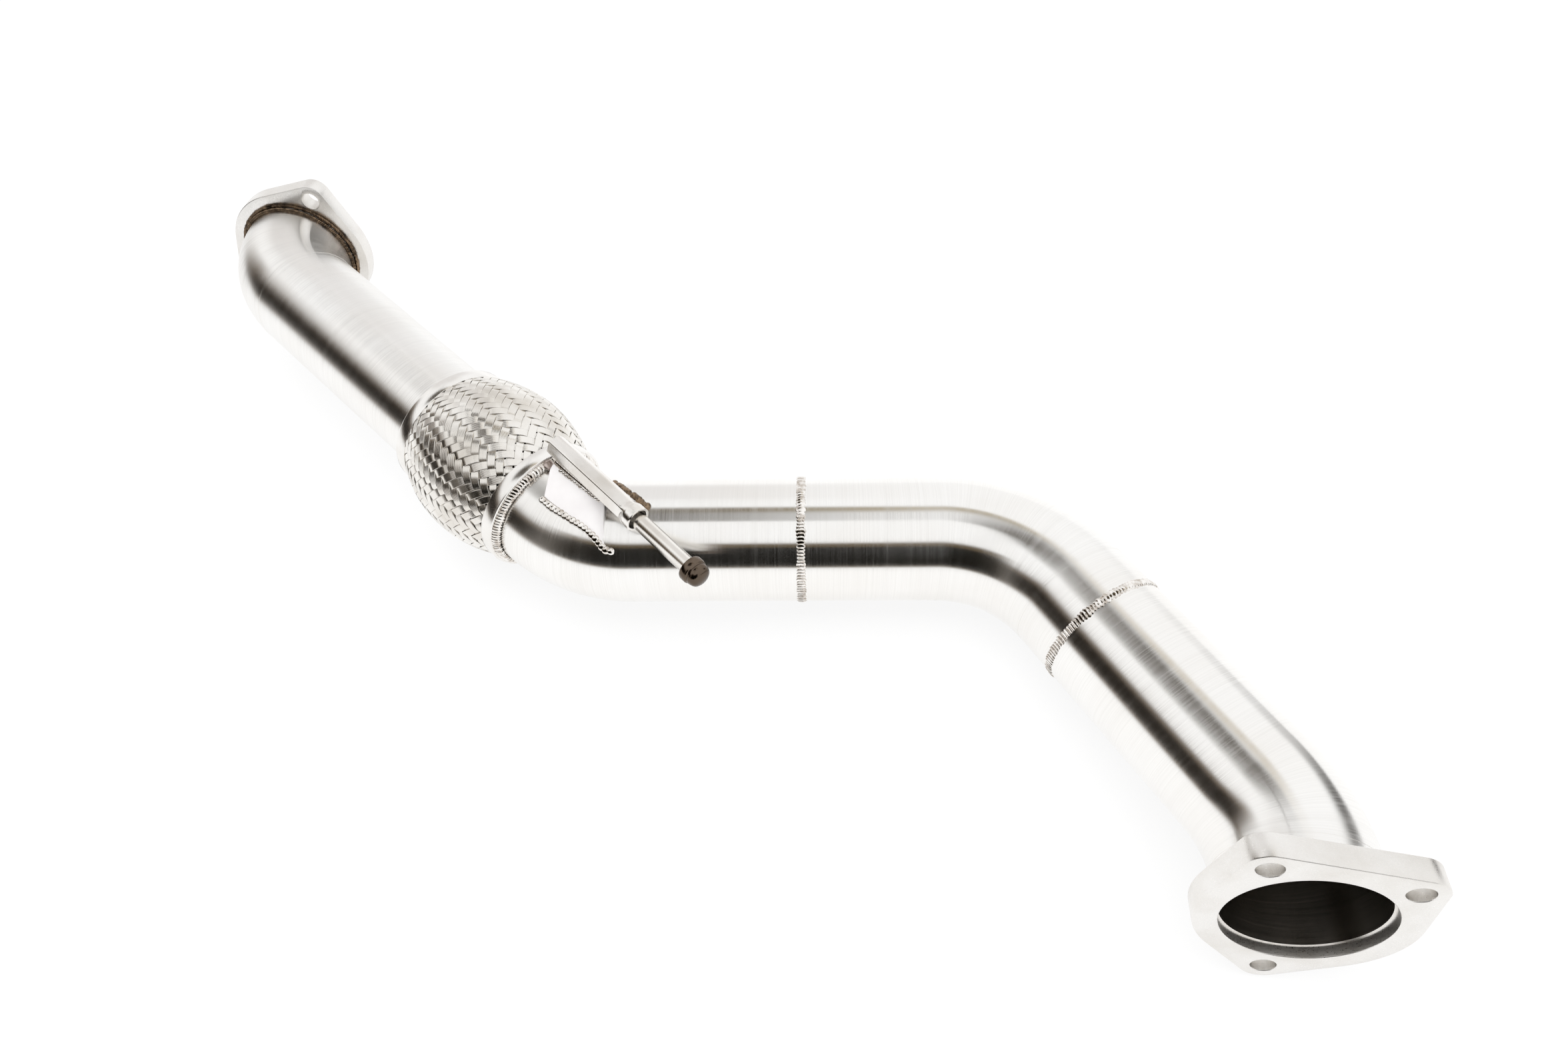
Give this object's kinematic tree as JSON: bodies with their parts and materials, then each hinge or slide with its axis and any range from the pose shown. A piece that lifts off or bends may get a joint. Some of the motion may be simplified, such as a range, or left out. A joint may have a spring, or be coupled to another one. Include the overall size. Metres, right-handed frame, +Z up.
{
  "type": "exhaust front pipe",
  "caption": "Bent steel exhaust front pipe with a bolted flange at each end, a braided flex coupling and a hanger rod on a folded bracket.",
  "frame": {"origin": "on the floor under the middle of the part's bounding box, as it lies at rest", "axes": "+X along the middle tube, with the gas; +Y towards the inlet end; +Z up"},
  "size_m": [0.7222, 0.517, 0.1221],
  "materials": {
    "tube_steel": "long brush marks, bright",
    "flange_steel": "cut plate, satin",
    "collar_steel": "turned, bright",
    "braid_wire": "woven bright wire",
    "bellows_steel": "thin formed sheet",
    "weld_grey": "rippled weld metal",
    "weld_bronze": "heat-tinted weld metal",
    "rod_steel": "drawn bar, bright"
  },
  "bodies": {
    "root": {"inlet_flange": "flange_steel", "inlet_flange_weld": "weld_bronze", "inlet_tube": "tube_steel", "flex_inlet_collar": "collar_steel", "flex_bellows": "bellows_steel", "flex_braid": "braid_wire", "flex_outlet_collar": "collar_steel", "flex_outlet_weld": "weld_grey", "elbow_tube": "tube_steel", "middle_weld": "weld_grey", "middle_tube": "tube_steel", "outlet_weld": "weld_grey", "outlet_tube": "tube_steel", "outlet_flange_weld": "weld_bronze", "outlet_flange": "flange_steel", "hanger_bracket": "collar_steel", "bracket_near_weld": "weld_grey", "bracket_far_weld": "weld_bronze", "hanger_sleeve": "collar_steel", "sleeve_weld": "weld_grey", "hanger_rod": "rod_steel"}
  },
  "joints": []
}
